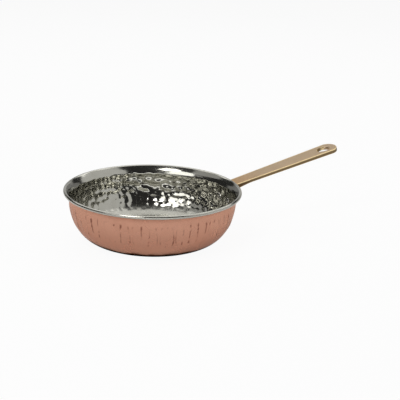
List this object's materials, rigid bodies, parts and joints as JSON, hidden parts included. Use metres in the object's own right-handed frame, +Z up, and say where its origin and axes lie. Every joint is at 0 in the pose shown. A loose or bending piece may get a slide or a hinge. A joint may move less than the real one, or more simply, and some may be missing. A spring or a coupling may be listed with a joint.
{
  "type": "frying pan",
  "caption": "Round frying pan with a hammered copper shell, a steel lining curled over its rim and a long cast brass handle with a hanging eye, riveted to the wall.",
  "frame": {"origin": "centre of the flat underside of the base", "axes": "+X along the handle, towards its hanging eye; +Z up out of the bowl"},
  "size_m": [0.3057, 0.18, 0.0777],
  "materials": {
    "copper": "hammered copper sheet, polished and lacquered",
    "steel": "hammered stainless steel sheet, bright",
    "brass": "sand cast brass, satin",
    "rivet_steel": "stainless steel, domed and polished"
  },
  "bodies": {
    "root": {"copper_shell": "copper", "steel_lining": "steel", "brass_handle": "brass", "front_rivet": "rivet_steel", "rear_rivet": "rivet_steel"}
  },
  "joints": []
}
